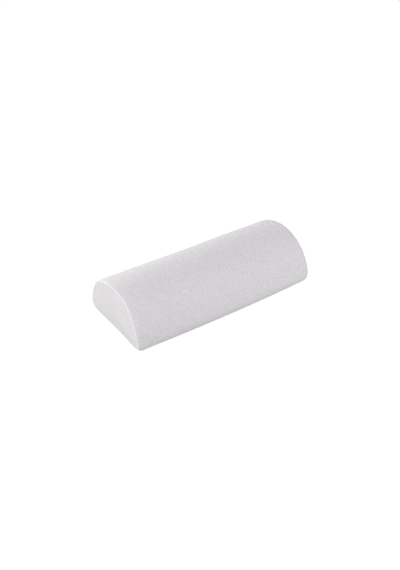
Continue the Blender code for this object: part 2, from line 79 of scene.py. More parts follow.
# Zip: round the section from its middle line, and along the bolster from its middle
ZIP_RISE = 0.0115
LIP = 0.0050
LIP_FOLD = 0.0009
HEM_BACK = 0.0110
TAPE_EDGE = 0.0022
TAPE_REACH = 0.0140
TAPE_END = 0.2045
TAPE_TRIM = 0.00006
TAB_START = 0.19004
TAB_DEPTH = 0.00045
TAB_FOLD = 0.0004
SLIDER_RECESS = 0.0032
PARTING_START = -0.1791
HOLLOW_REACH = 0.0143
HOLLOW_SLOPE = 0.0106
HOLLOW_EDGE = 0.019
HOLLOW_RUNOUT = 0.0047
CHAIN_ROUNDING = 0.00012
METAL_ROUNDING = 0.00014

# Lengths round the section, from the zip's line up over the dome
DOME_ARC = DOME_R * (math.pi - 2 * CORNER_TURN)
CORNER_ARC = CORNER_R * (CORNER_TURN + math.pi / 2)
DOME_END = DOME_ARC - ZIP_RISE
FRONT_END = DOME_END + CORNER_ARC
BASE_END = FRONT_END + 2 * CORNER_Y
REAR_END = BASE_END + CORNER_ARC
PERIMETER = REAR_END + ZIP_RISE
ZIP_TURN = CORNER_TURN + ZIP_RISE / DOME_R
FRONT_SEAM_INSET = 0.006
FRONT_SEAM = FRONT_END + FRONT_SEAM_INSET

# How the end seams draw the cover in. Over hills of (turn and width in degrees) the left seam draws it
# in by less, or starts earlier.
DRAW = 0.0041
DRAW_START = 0.2035
DRAW_POWER = 1.5
SLACK_HILLS = (((52, 16), 0.0034), ((122, 14), 0.0040), ((175, 38), 0.0033))
EARLY_HILL, EARLY_DRAW = (88, 25), 0.030

# How the left end leans out, over its low front edge and once more in the corner there
LEAN_HILL, LEAN, LEAN_START = (166, 32), 0.0066, 0.15
CORNER_LEAN, CORNER_LEAN_Y, CORNER_LEAN_REACH, CORNER_LEAN_Z = 0.0016, 0.010, 0.050, 0.040

# How much fuller the low front edge is, and how far the crest is sunk. Each has its stretch of the
# length as (middle, half length), and its reach round the section: up and down from the edge in metres,
# before and after the crest's turn in radians.
FULL, FULL_STRETCH, FULL_UP, FULL_DOWN = 0.0029, (0.010, 0.190), 0.055, 0.0158
SUNK, SUNK_STRETCH = 0.0013, (-0.045, 0.140)
SUNK_TURN, SUNK_BEFORE, SUNK_AFTER = math.radians(48), 0.5, 0.9

# Piping, puckers beside the end seams as (seeds right and left, wavelength, height, reach), and stitches
PIPING_R = 0.00115
PIPING_DEPTH = 0.00080
PIPING_TURN = math.radians(68)
PIPING_WAVE = 0.013
PANEL_EDGE = 0.0009
PUCKERS = (((3.1, 8.7), 0.0085, 0.00014, 0.0045), ((5.2, 1.4), 0.021, 0.00022, 0.013))
STITCH_PITCH = 0.0031
STITCH_LENGTH = 0.0024
STITCH_DEPTH = 0.00026
STITCH_END = 0.006
STITCH_ROWS = (0.0028, 0.0082)
THREAD_R = 0.00024

# A stitch as rings: place along it as a share of its length, lift and thickness in thread radii
STITCH_FORM = ((-0.5, -1.3, 0.6), (-0.38, 0.1, 0.95), (0.0, 0.45, 1.0), (0.38, 0.1, 0.95), (0.5, -1.3, 0.6))

# Swell of the cover between its seams
SWELL_SHARE = 0.55
SWELL_CAP = 0.0010
SWELL_REACH = 0.008
SWELL_FRAMES = 20

# Mesh steps
BODY_STEP = 0.0026
BASE_STEP = 0.0052
HEM_STEP, HEM_ZONE = 0.0007, 0.016
SEAM_STEP, SEAM_ZONE = 0.0006, 0.004
END_ZONE = 0.2035
LAST_ZONE = 0.2090
WELD = 0.00001

# Lamps: name, azimuth and elevation in degrees, share of the plain level, colour
LAMPS = (
    ("left", 90, 32, 0.524, (0.98, 1.0, 0.945)),
    ("rear", 0, 14, 0.636, (0.95, 1.0, 0.91)),
    ("front", 210, 20, 0.42, (0.965, 1.0, 0.955)),
)

# Floor and surrounding light
FLOOR_DROP = 0.0006
FLOOR_GLOW = 1.20
FLOOR_GLOW_SHARE = 0.76
AMBIENT = 0.53


# Places on the form

def section(s):
    """Arc centre (y, z), radius and outward turn at distances s round the section."""
    s = np.asarray(s, float) % PERIMETER
    where = [s < DOME_END, s < FRONT_END, s < BASE_END, s < REAR_END]
    zero = np.zeros_like(s)
    y = np.select(where, [zero, zero - CORNER_Y, s - FRONT_END - CORNER_Y, zero + CORNER_Y], zero)
    on_dome = where[0] | ~where[3]
    z = np.where(on_dome, DOME_Z, CORNER_R)
    radius = np.where(on_dome, DOME_R, CORNER_R)
    turns = [
        ZIP_TURN + s / DOME_R,
        math.pi - CORNER_TURN + (s - DOME_END) / CORNER_R,
        zero + 1.5 * math.pi,
        (s - BASE_END) / CORNER_R - math.pi / 2,
    ]
    turn = np.select(where, turns, CORNER_TURN + (s - REAR_END) / DOME_R)
    return y, z, radius, turn


def profile(w):
    """x, inset and outward direction (along x, and away from the axis) at distances w along the bolster
    from its middle, over the end rounding."""
    w = np.asarray(w, float)
    side = np.sign(w)
    bend = np.maximum(np.abs(w) - HALF_STRAIGHT, 0) / END_R
    x = np.where(bend > 0, side * (HALF_STRAIGHT + END_R * np.sin(bend)), w)
    return x, END_R * (1 - np.cos(bend)), side * np.sin(bend), np.cos(bend)


def hill(turn, place):
    """A smooth hill over the turns round the section, 1 at its centre; place is (centre, width) in
    degrees."""
    centre, width = place
    off = (turn - math.radians(centre) + math.pi) % (2 * math.pi) - math.pi
    return np.exp(-((off / math.radians(width)) ** 2))


def drawn_in(turn, w):
    """How far the end seams draw the cover towards the axis close to the ends; the left seam wanders,
    hardly drawn in at its crest, at the shoulder and low at the front."""
    left = (w < 0) * 1.0
    amount = DRAW - left * sum(less * hill(turn, place) for place, less in SLACK_HILLS)
    start = DRAW_START - left * EARLY_DRAW * hill(turn, EARLY_HILL)
    return amount * np.clip((np.abs(w) - start) / (SEAM_W - start), 0, None) ** DRAW_POWER


def leaning(y, z, turn, w):
    """How far the left end leans out along x, most above its low front edge."""
    near = np.clip((-w - LEAN_START) / (SEAM_W - LEAN_START), 0, None) ** 2
    front = np.clip((-y - CORNER_LEAN_Y) / CORNER_LEAN_REACH, 0, 1)
    corner = front * np.clip(1 - z / CORNER_LEAN_Z, 0, 1)
    return -near * (LEAN * hill(turn, LEAN_HILL) + CORNER_LEAN * corner)


def over_stretch(w, middle, half):
    """1 at the middle of a stretch of the bolster's length, 0 from its ends on."""
    return np.clip(1 - ((w - middle) / half) ** 2, 0, None)


def bulge(share):
    """A smooth rise to 1 where the share is 0, from 0 where it is -1 or 1."""
    return np.cos(share * math.pi / 2) ** 2


def fullness(s, turn, w):
    """The filling's own form between the ends: fuller along the low front edge, a little sunk along
    the crest."""
    off = (s % PERIMETER) - (FRONT_END - FULL_DOWN)
    edge = np.clip(np.where(off > 0, off / FULL_DOWN, -off / FULL_UP), 0, 1)
    reach = np.where(turn > SUNK_TURN, SUNK_AFTER, SUNK_BEFORE)
    crest = np.clip((turn - SUNK_TURN) / reach, -1, 1)
    full = FULL * over_stretch(w, *FULL_STRETCH) * bulge(edge)
    return full - SUNK * over_stretch(w, *SUNK_STRETCH) * bulge(crest)


def surface(s, w, depth):
    """Points for every pair of s and w, a depth below the outer form: an array of shape (w, s, 3)."""
    s, w = np.asarray(s, float), np.asarray(w, float)
    y0, z0, radius, turn = (a[None, :] for a in section(s))
    x, inset, out_x, out_r = (a[:, None] for a in profile(w))
    column, row = w[:, None], s[None, :]
    reach = radius - inset - depth * out_r + fullness(row, turn, column) - drawn_in(turn, column)
    y, z = y0 + reach * np.cos(turn), z0 + reach * np.sin(turn)
    return np.stack([x - depth * out_x + leaning(y, z, turn, column), y, z], axis=-1)


def end_rings(s, side, shares, depth):
    """Rings on an end panel: every share of the way from its middle to the seam, with the crown. The
    shares are one for each ring, or one for each point of each ring."""
    rim = surface(s, [side * SEAM_W], depth if np.isscalar(depth) else 0.0)[0]
    middle = np.array([side * (HALF_STRAIGHT + SEAM_OUT), 0.0, HEIGHT / 2])
    shares = np.asarray(shares, float)
    shares = shares.reshape(len(shares), -1, 1)
    rings = middle + (rim[None] - middle) * shares
    rings[..., 0] += side * END_CROWN * (1 - shares[..., 0] ** 2)
    if not np.isscalar(depth):
        rings[..., 0] -= side * depth
    return rings


def graded(*stretches):
    """Values along stretches of (start, stop, step), with shared ends once."""
    values = []
    for start, stop, step in stretches:
        count = max(1, round(abs(stop - start) / step))
        values += list(np.linspace(start, stop, count + 1)[1 if values else 0:])
    return np.array(values)


def fold(values):
    """The same values with their mirror images, in rising order."""
    return np.concatenate([-values[::-1], values])


# Relief of the cloth

def groove(distance, depth, width):
    """The depth of a soft groove at a distance from its middle."""
    return depth * np.exp(-((distance / width) ** 2))


def ripple(s, seed, wave):
    """A wandering wave round the section, mostly between -1 and 1."""
    drift_scale, size_scale, seed_step, wander = 30, 22, 7.3, 5
    drift = np.array([noise.noise(Vector((value * drift_scale, seed, 0.5))) for value in s])
    size = np.array([noise.noise(Vector((value * size_scale, seed + seed_step, 1.5))) for value in s])
    return np.sin(2 * math.pi * np.asarray(s) / wave + wander * drift) * (0.6 + 0.7 * size)


def seam_relief(s, away, side):
    """How far the stitching of the end seam draws the cloth in at a distance away from it, with the
    small puckers beside it; side is the sign of x."""
    away = np.abs(away)
    relief = groove(away, depth=0.00022, width=0.0026) + groove(away, depth=0.00050, width=0.0011)
    for seeds, wave, height, reach in PUCKERS:
        right, left = (ripple(s, seed, wave)[None] for seed in seeds)
        relief = relief + height * np.where(side > 0, right, left) * np.exp(-away / reach)
    return relief


def drift_relief(points):
    """Slow swells of the cloth over the foam, none where the base rests."""
    slow_scale, slow_height, quick_scale, quick_height, lift_height = 11, 0.00050, 34, 0.00016, 0.02
    flat = points.reshape(-1, 3)
    slow = np.array([noise.noise(Vector(p) * slow_scale) for p in flat])
    quick = np.array([noise.noise(Vector(p) * quick_scale + Vector((9, 2, 4))) for p in flat])
    lift = np.clip(flat[:, 2] / lift_height, 0, 1)
    return ((slow_height * slow + quick_height * quick) * lift).reshape(points.shape[:-1])


def hem_relief(s):
    """The topstitched rows beside the zip press the cloth down."""
    s = np.asarray(s, float)
    off = np.minimum(s % PERIMETER, PERIMETER - s % PERIMETER) - LIP
    return sum(groove(off - row, depth=0.00034, width=0.0008) for row in STITCH_ROWS)


def front_seam_relief(s):
    """The groove of the hidden seam between the body and the base panel."""
    return groove(np.asarray(s, float) - FRONT_SEAM, depth=0.0009, width=0.0011)


# Meshes

def build(name, points, ring=False, start_cap=False, end_cap=False, flip=False):
    """An object from rows of points, joined in quads; ring closes each row, and a cap closes the first
    or last row on its middle."""
    rows, count = points.shape[:2]
    index = np.arange(rows * count).reshape(rows, count)
    columns = np.arange(count if ring else count - 1)
    after = (columns + 1) % count
    quads = np.stack(
        [index[:-1, columns], index[:-1, after], index[1:, after], index[1:, columns]], axis=-1
    ).reshape(-1, 4)
    faces = [tuple(int(i) for i in quad) for quad in quads]
    vertices = [tuple(point) for point in points.reshape(-1, 3)]
    if start_cap:
        faces += [(int(index[0, j]), int(index[0, i]), len(vertices)) for i, j in zip(columns, after)]
        vertices.append(tuple(points[0].mean(axis=0)))
    if end_cap:
        faces += [(int(index[-1, i]), int(index[-1, j]), len(vertices)) for i, j in zip(columns, after)]
        vertices.append(tuple(points[-1].mean(axis=0)))
    if flip:
        faces = [quad[::-1] for quad in faces]
    mesh = bpy.data.meshes.new(name)
    mesh.from_pydata(vertices, [], faces)
    mesh.validate()
    mesh.shade_smooth()
    item = bpy.data.objects.new(name, mesh)
    bpy.context.scene.collection.objects.link(item)
    return item


def dress(item, material, body, slot, *nodes):
    """Gives a piece its material and the body it rides on, and hides the CAD nodes it stands for. The slot
    is not used.
    """
    item.data.materials.clear()
    item.data.materials.append(material)
    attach(item, body)
    if nodes:
        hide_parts(*nodes)
    return item


# The filled cover's own swell, from a short cloth simulation of the whole form

def even_form():
    """The closed form in even facets, with a group of its points that are sewn or rest."""
    step, voxel, seam_step, sewn_reach, rest_height = 0.0062, 0.0056, 0.002, 0.0042, 0.0035
    s = np.arange(0, PERIMETER, step)
    w = fold(graded((0.003, HALF_STRAIGHT, step), (HALF_STRAIGHT, SEAM_W, 0.0045)))
    shares = np.arange(0.93, 0.04, -0.07)
    rows = [end_rings(s, -1, shares, 0.0)[::-1], surface(s, w, 0.0), end_rings(s, 1, shares, 0.0)]
    item = build("swelling_form", np.concatenate(rows), ring=True, start_cap=True, end_cap=True)
    remesh = item.modifiers.new("even", "REMESH")
    remesh.mode = "VOXEL"
    remesh.voxel_size = voxel
    graph = bpy.context.evaluated_depsgraph_get()
    even = bpy.data.meshes.new_from_object(item.evaluated_get(graph))
    item.modifiers.clear()
    item.data = even
    seams = surface(np.arange(0, PERIMETER, seam_step), [-SEAM_W, SEAM_W], 0.0).reshape(-1, 3)
    nearest = KDTree(len(seams))
    for number, point in enumerate(seams):
        nearest.insert(point, number)
    nearest.balance()
    held = item.vertex_groups.new(name="sewn")
    for vertex in even.vertices:
        if vertex.co.z < rest_height or nearest.find(vertex.co)[2] < sewn_reach:
            held.add([vertex.index], 1.0, "REPLACE")
    return item


def swollen_form():
    """The form before and after it is blown up against its seams and its flat base, as search trees."""
    item = even_form()
    faces = [tuple(p.vertices) for p in item.data.polygons]
    before = BVHTree.FromPolygons([v.co.copy() for v in item.data.vertices], faces)
    cloth = item.modifiers.new("air", "CLOTH")
    cloth.settings.vertex_group_mass = "sewn"
    cloth.settings.use_pressure = True
    cloth.settings.uniform_pressure_force = 4.0
    cloth.settings.effector_weights.gravity = 0.0
    cloth.settings.bending_stiffness = 0.8
    cloth.settings.quality = 6
    for number in range(1, SWELL_FRAMES + 1):
        bpy.context.scene.frame_set(number)
    blown = item.evaluated_get(bpy.context.evaluated_depsgraph_get())
    after = BVHTree.FromPolygons([v.co.copy() for v in blown.to_mesh().vertices], faces)
    blown.to_mesh_clear()
    bpy.context.scene.frame_set(1)
    bpy.data.objects.remove(item)
    return before, after


def height_over(tree, point, direction):
    """How far a form lies outside a point, along the direction; 0 where no ray meets it."""
    hit = tree.ray_cast(point + direction * SWELL_REACH, -direction, 2 * SWELL_REACH)
    return SWELL_REACH - hit[3] if hit[0] is not None else 0.0


def swell(trees, points, normals):
    """How far the cover swells at each point, eased to the cap; none without a simulation."""
    if trees is None:
        return np.zeros(points.shape[:-1])
    before, after = trees
    grown = []
    for point, normal in zip(points.reshape(-1, 3), normals.reshape(-1, 3)):
        place, direction = Vector(point), Vector(normal)
        grown.append(height_over(after, place, direction) - height_over(before, place, direction))
    grown = np.array(grown).reshape(points.shape[:-1]) * SWELL_SHARE
    return SWELL_CAP * np.tanh(grown / SWELL_CAP)


def outward(s, w):
    """Directions away from the form for every pair of s and w, in an array like surface's."""
    turn = section(s)[3][None, :]
    _, _, out_x, out_r = (a[:, None] for a in profile(w))
    shape = (len(w), len(s))
    return np.stack(
        [np.broadcast_to(out_x, shape), out_r * np.cos(turn), out_r * np.sin(turn)], axis=-1
    )


def cover_points(tree, s, w, extra):
    """The cover's outer surface at s and w, with its relief and an extra depth."""
    plain = surface(s, w, 0.0)
    drawn = seam_relief(s, (np.abs(w) - SEAM_W)[:, None], np.sign(w)[:, None])
    depth = drawn + drift_relief(plain) - swell(tree, plain, outward(s, w)) + extra
    return surface(s, w, depth)


# Cover

def body_rows():
    """Distances along the bolster for the rows of a body panel, finest beside the end seams."""
    edge = SEAM_W - PANEL_EDGE
    return fold(graded((0.0018, 0.185, 0.0036), (0.185, END_ZONE, 0.0020), (END_ZONE, LAST_ZONE, 0.0008),
                       (LAST_ZONE, edge, 0.0005)))


def lip_columns(tree, w, sign):
    """The hem beside the zip: the cloth comes in under the tape's edge, folds round and lies on top."""
    start, steps = LIP + LIP_FOLD, 6
    places = [(HEM_BACK, COVER_THICKNESS), (start, COVER_THICKNESS)]
    for step in range(1, steps):
        angle = math.pi * step / steps
        places.append((start - LIP_FOLD * math.sin(angle), LIP_FOLD * (1 + math.cos(angle))))
    columns = []
    for distance, depth in places:
        s = np.array([sign * distance])
        columns.append(cover_points(tree, s, w, depth))
    return np.concatenate(columns, axis=1)


def top_panel(tree):
    """From the zip's upper lip over the dome, round the front corner and a little way under the base."""
    w = body_rows()
    s = graded(
        (LIP + LIP_FOLD, HEM_ZONE, HEM_STEP),
        (HEM_ZONE, FRONT_SEAM - SEAM_ZONE, BODY_STEP),
        (FRONT_SEAM - SEAM_ZONE, FRONT_SEAM, SEAM_STEP),
    )
    outer = cover_points(tree, s, w, (hem_relief(s) + front_seam_relief(s))[None])
    points = np.concatenate([lip_columns(tree, w, 1), outer], axis=1)
    return build("cover_top", points)


def base_panel(tree):
    """From the hidden front seam across the base and round the rear corner to the zip's lower lip."""
    w = body_rows()
    lower = PERIMETER - LIP - LIP_FOLD
    s = graded(
        (FRONT_SEAM, FRONT_SEAM + SEAM_ZONE, SEAM_STEP),
        (FRONT_SEAM + SEAM_ZONE, BASE_END - SEAM_ZONE, BASE_STEP),
        (BASE_END - SEAM_ZONE, PERIMETER - HEM_ZONE, BODY_STEP),
        (PERIMETER - HEM_ZONE, lower, HEM_STEP),
    )
    outer = cover_points(tree, s, w, (hem_relief(s) + front_seam_relief(s))[None])
    points = np.concatenate([outer, lip_columns(tree, w, -1)[:, ::-1]], axis=1)
    return build("cover_base", points)


def end_panel(tree, side, word):
    """An end panel: rings from the piping to its middle, towards which the relief fades to one level."""
    points_round, level_rings, fade_share = 200, 8, 0.25
    s = np.linspace(0, PERIMETER, points_round, endpoint=False)
    middle = np.array([0.0, HEIGHT / 2])
    reach = np.linalg.norm(surface(s, [side * SEAM_W], 0.0)[0, :, 1:] - middle, axis=1)
    steps = np.concatenate([
        np.linspace(1, 0.90, 7), np.arange(0.88, 0.70, -0.02), np.arange(0.67, 0.02, -0.035),
    ])
    shares = steps[:, None] * (1 - PANEL_EDGE / reach)
    flat = end_rings(s, side, shares, 0.0)
    away = reach * (1 - shares)
    normals = np.zeros_like(flat)
    normals[..., 0] = side
    depth = seam_relief(s, away, side) + drift_relief(flat) - swell(tree, flat, normals)
    level = depth[-level_rings:].mean()
    near = np.minimum(1.0, shares / fade_share)
    points = end_rings(s, side, shares, depth * near + level * (1 - near))
    return build(f"cover_end_{word}", points, ring=True, end_cap=True, flip=side < 0)


def piping(side, word):
    """A cord in a strip of the cover's cloth, bedded in the end seam and a little uneven in thickness."""
    points_round, corners, uneven, seed = 340, 12, 0.05, 2.2
    s = np.linspace(0, PERIMETER, points_round, endpoint=False)
    y0, z0, radius, turn = section(s)
    x, inset = side * (HALF_STRAIGHT + SEAM_OUT), SEAM_IN
    out_x, out_r = side * math.sin(PIPING_TURN), math.cos(PIPING_TURN)
    thick = PIPING_R * (1 + uneven * ripple(s, seed + side, PIPING_WAVE))
    rings = []
    pull = drawn_in(turn, side * SEAM_W)
    for angle in np.linspace(0, 2 * math.pi, corners, endpoint=False):
        up, along = math.cos(angle), math.sin(angle)
        across = thick * up - PIPING_DEPTH
        reach = radius - inset - pull + across * out_r - thick * along * abs(out_x)
        y, z = y0 + reach * np.cos(turn), z0 + reach * np.sin(turn)
        xs = x + across * out_x + thick * along * out_r * side + leaning(y, z, turn, side * SEAM_W)
        rings.append(np.stack([xs, y, z], axis=-1))
    points = np.stack(rings + rings[:1])
    item = build(f"piping_{word}", points, ring=True, flip=side > 0)
    weld = item.modifiers.new("weld", "WELD")
    weld.merge_threshold = WELD
    return item


def tab(tree, side, word):
    """The patch that closes the zip's opening between the chain and the end seam, its edge turned under."""
    side_gap, side_drop, edge_back = 0.0001, 0.0006, 0.0003
    w = graded((TAB_START, END_ZONE, 0.0018), (END_ZONE, SEAM_W - PANEL_EDGE, 0.0008))
    s = np.linspace(-LIP + side_gap, LIP - side_gap, 9)
    sunk = TAB_DEPTH + side_drop * (np.abs(s) / LIP) ** 4
    points = cover_points(tree, s, side * w, sunk[None])
    turned = cover_points(tree, s, side * w[:1], COVER_THICKNESS)
    turned[..., 0] += side * TAB_FOLD
    rounded = cover_points(tree, s, side * w[:1], (sunk + TAB_FOLD)[None])
    points[0, :, 0] += side * edge_back
    points = np.concatenate([turned, rounded, points])
    return build(f"zip_tab_{word}", points, flip=side < 0)


# Zip

def tape(sign, word, start, stop):
    """One side of the zip's woven tape, with the cord edge that carries the teeth. A thin strip at each
    end keeps the shading flat up to the cut."""
    bead_height, bead_width, bead_zone = 0.00018, 0.0004, 0.0012
    w = graded((start, start + TAPE_TRIM, TAPE_TRIM), (start + TAPE_TRIM, stop - TAPE_TRIM, 0.0045),
               (stop - TAPE_TRIM, stop, TAPE_TRIM))
    bead_end = TAPE_EDGE + bead_zone
    s = sign * graded((TAPE_EDGE, bead_end, 0.0003), (bead_end, TAPE_REACH, 0.0012))
    bead = groove(np.abs(s) - TAPE_EDGE - bead_width, -bead_height, bead_width)
    points = surface(s, w, INNER_DEPTH + bead[None])
    item = build(f"zip_tape_{word}", points, flip=sign < 0)
    wall = item.modifiers.new("cloth", "SOLIDIFY")
    wall.thickness = TAPE_THICKNESS
    wall.offset = -1.0
    return item


def soft_edges(item, width, weld=False):
    """Small rounded edges on a hard piece."""
    if weld:
        join = item.modifiers.new("join", "WELD")
        join.merge_threshold = WELD
    edge = item.modifiers.new("edges", "BEVEL")
    edge.width = width
    edge.segments = 2
    edge.limit_method = "ANGLE"
    edge.angle_limit = math.radians(32)
    return item


def stitched(name, places):
    """One mesh of thread: each place is (middle, along, out, length), for a stitch that dips in at both
    ends."""
    bm = bmesh.new()
    corners = [(math.cos(math.pi * k / 3), math.sin(math.pi * k / 3)) for k in range(6)]
    for middle, along, out, length in places:
        across = along.cross(out).normalized()
        rings = []
        for place, lift, size in STITCH_FORM:
            centre = middle + along * (place * length) + out * (lift * THREAD_R)
            rings.append([
                bm.verts.new(centre + (across * c + out * s) * THREAD_R * size) for c, s in corners
            ])
        for low, high in zip(rings, rings[1:]):
            for k in range(len(corners)):
                after = (k + 1) % len(corners)
                bm.faces.new((low[k], low[after], high[after], high[k]))
        bm.faces.new(rings[0][::-1])
        bm.faces.new(rings[-1])
    bmesh.ops.recalc_face_normals(bm, faces=bm.faces)
    mesh = bpy.data.meshes.new(name)
    bm.to_mesh(mesh)
    bm.free()
    mesh.shade_smooth()
    item = bpy.data.objects.new(name, mesh)
    bpy.context.scene.collection.objects.link(item)
    return item


def hem_stitches(tree):
    """Two rows of topstitching beside each lip of the zip."""
    places = []
    w = np.arange(-SEAM_W + STITCH_END, SEAM_W - STITCH_END, STITCH_PITCH)
    for sign in (1, -1):
        for row in STITCH_ROWS:
            s = np.array([sign * (LIP + row)])
            points = cover_points(tree, s, w, STITCH_DEPTH)
            normals = outward(s, w)
            for middle, out in zip(points[:, 0], normals[:, 0]):
                places.append((Vector(middle), Vector((1, 0, 0)), Vector(out), STITCH_LENGTH))
    return stitched("hem_stitching", places)


def bar_tacks(tree):
    """Dense stitching across the chain's ends, on the tabs."""
    columns, stitches, first, pitch, reach, length = 4, 4, 0.0016, 0.00055, 0.0034, 0.0023
    places = []
    for side in (-1, 1):
        for column in range(columns):
            w = np.array([side * (TAB_START + first + column * pitch)])
            s = np.linspace(-reach, reach, stitches)
            points = cover_points(tree, s, w, TAB_DEPTH)
            normals = outward(s, w)
            for i in range(stitches):
                here, beyond = (surface(s[i:i + 1] + step, w, 0.0)[0, 0] for step in (0.0, 0.001))
                across = Vector(beyond - here).normalized()
                places.append((Vector(points[0, i]), across, Vector(normals[0, i]), length))
    return stitched("bar_tacks", places)


def double(name, title, side):
    """The CAD node's own shape on one side of the place where the zip starts to part, as a piece of its
    own."""
    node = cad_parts[name]
    shape = bmesh.new()
    shape.from_mesh(node.data)
    bmesh.ops.remove_doubles(shape, verts=shape.verts, dist=WELD)
    cut = bmesh.ops.bisect_plane(shape, geom=shape.verts[:] + shape.edges[:] + shape.faces[:],
                                 plane_co=(PARTING_START, 0, 0), plane_no=(-side, 0, 0), clear_outer=True)
    rim = [piece for piece in cut["geom_cut"] if isinstance(piece, bmesh.types.BMEdge)]
    if rim:
        bmesh.ops.edgenet_fill(shape, edges=rim)
    mesh = bpy.data.meshes.new(title)
    shape.to_mesh(mesh)
    shape.free()
    item = bpy.data.objects.new(title, mesh)
    item.matrix_world = node.matrix_world
    bpy.context.scene.collection.objects.link(item)
    return soft_edges(item, CHAIN_ROUNDING)


def draws_back(item):
    """Gives the piece its own copy of its mesh."""
    y0, z0, radius, turn = (float(value) for value in section(0.0))
    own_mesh(item)


def finish_node(name, material):
    """A rigid CAD node keeps its shape and gets rounded edges and a full material."""
    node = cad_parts[name]
    node.data.materials.clear()
    node.data.materials.append(material)
    soft_edges(node, METAL_ROUNDING, weld=True)


# Liner and foam

def zip_hollow(s):
    """The fill lies deeper behind the slider and the tapes."""
    off = np.minimum(s % PERIMETER, PERIMETER - s % PERIMETER)
    tape = TAPE_THICKNESS + FIT_GAP
    deeper = SLIDER_RECESS - TAPE_THICKNESS - FIT_GAP
    slope = tape + deeper * np.clip((HOLLOW_REACH - off) / HOLLOW_SLOPE, 0, 1)
    runout = tape * np.clip((HOLLOW_EDGE - off) / HOLLOW_RUNOUT, 0, 1)
    return np.where(off < HOLLOW_REACH, slope, runout)


def filled(name, depth):
    """A closed, crowned form under the cover, with its rounded ends and the hollow behind the zip."""
    zip_zone, fade_reach = 0.020, 0.006
    s = graded((-zip_zone, zip_zone, 0.0016), (zip_zone, PERIMETER - zip_zone, 0.0050))[:-1]
    w = fold(graded((0.003, HALF_STRAIGHT, 0.0060), (HALF_STRAIGHT, SEAM_W, 0.0020)))
    fade = np.clip((SEAM_W - np.abs(w)) / fade_reach, 0, 1)[:, None]
    plain = surface(s, w, depth)
    rows = surface(s, w, depth + zip_hollow(s)[None] * fade + np.maximum(0.0, drift_relief(plain)))
    shares = np.arange(0.97, 0.03, -0.05)
    right = end_rings(s, 1, shares, depth)
    left = end_rings(s, -1, shares, depth)[::-1]
    points = np.concatenate([left, rows, right])
    return build(name, points, ring=True, start_cap=True, end_cap=True)


# Materials

class Paint:
    """A node material under construction, in the piece's own coordinates in metres."""

    def __init__(self, name, colour, roughness, metallic=0.0):
        self.material = bpy.data.materials.new(name)
        self.material.use_nodes = True
        self.tree = self.material.node_tree
        self.shader = self.tree.nodes["Principled BSDF"]
        self.set("Base Color", (*colour, 1.0))
        self.set("Roughness", roughness)
        self.set("Metallic", metallic)
        self.place = self.node("ShaderNodeTexCoord").outputs["Object"]
        self.normal = None

    def node(self, kind, **values):
        """A new node with its properties."""
        made = self.tree.nodes.new(kind)
        for key, value in values.items():
            setattr(made, key, value)
        return made

    def link(self, out, into):
        self.tree.links.new(out, into)

    def set(self, socket, value):
        self.shader.inputs[socket].default_value = value

    def stretch(self, scale, turn=(0, 0, 0)):
        """The piece's coordinates, scaled and turned."""
        mapping = self.node("ShaderNodeMapping")
        mapping.inputs["Scale"].default_value = scale
        mapping.inputs["Rotation"].default_value = turn
        self.link(self.place, mapping.inputs["Vector"])
        return mapping.outputs["Vector"]

    def noise(self, scale, detail, rough, at=None):
        made = self.node("ShaderNodeTexNoise")
        made.inputs["Scale"].default_value = scale
        made.inputs["Detail"].default_value = detail
        made.inputs["Roughness"].default_value = rough
        self.link(at or self.place, made.inputs["Vector"])
        return made.outputs["Fac"]

    def cells(self, scale):
        made = self.node("ShaderNodeTexVoronoi")
        made.inputs["Scale"].default_value = scale
        self.link(self.place, made.inputs["Vector"])
        return made.outputs["Distance"]

    def wave(self, scale, direction, bend, at=None):
        made = self.node("ShaderNodeTexWave", bands_direction=direction)
        made.inputs["Scale"].default_value = scale
        made.inputs["Distortion"].default_value = bend
        self.link(at or self.place, made.inputs["Vector"])
        return made.outputs["Fac"]

    def ramp(self, value, *stops):
        """A colour for the value, from stops of (place, colour)."""
        made = self.node("ShaderNodeValToRGB")
        marks = made.color_ramp.elements
        for mark, (place, colour) in zip(marks, (stops[0], stops[-1])):
            mark.position = place
            mark.color = (*colour, 1.0)
        for place, colour in stops[1:-1]:
            marks.new(place).color = (*colour, 1.0)
        self.link(value, made.inputs["Fac"])
        return made.outputs["Color"]

    def span(self, value, low, high, start=0.0, stop=1.0):
        """The value's range from start to stop, spread from low to high."""
        made = self.node("ShaderNodeMapRange")
        for socket, number in zip(("From Min", "From Max", "To Min", "To Max"), (start, stop, low, high)):
            made.inputs[socket].default_value = number
        self.link(value, made.inputs["Value"])
        return made.outputs["Result"]

    def combine(self, kind, first, second):
        """Two values joined by a sum or another operation."""
        made = self.node("ShaderNodeMath", operation=kind)
        for socket, value in zip(made.inputs, (first, second)):
            self.feed(value, socket)
        return made.outputs["Value"]

    def blend(self, share, first, second):
        """The first colour with a share of the second."""
        made = self.node("ShaderNodeMix", data_type="RGBA")
        for socket, value in (("Factor", share), ("A", first), ("B", second)):
            self.feed(value, made.inputs[socket])
        return made.outputs["Result"]

    def feed(self, value, socket):
        """Links an output to a socket, or sets a colour or a number on it."""
        if isinstance(value, bpy.types.NodeSocket):
            self.link(value, socket)
        elif isinstance(value, tuple):
            socket.default_value = (*value, 1.0)
        else:
            socket.default_value = value

    def bump(self, height, distance, strength):
        """Adds relief over the relief that is there already."""
        made = self.node("ShaderNodeBump")
        made.inputs["Distance"].default_value = distance
        made.inputs["Strength"].default_value = strength
        self.link(height, made.inputs["Height"])
        if self.normal is not None:
            self.link(self.normal, made.inputs["Normal"])
        self.normal = made.outputs["Normal"]

    def done(self, colour, roughness=None):
        """Links colour, roughness and relief to the shader, and gives the material."""
        self.link(colour, self.shader.inputs["Base Color"])
        if roughness is not None:
            self.link(roughness, self.shader.inputs["Roughness"])
        self.link(self.normal, self.shader.inputs["Normal"])
        return self.material


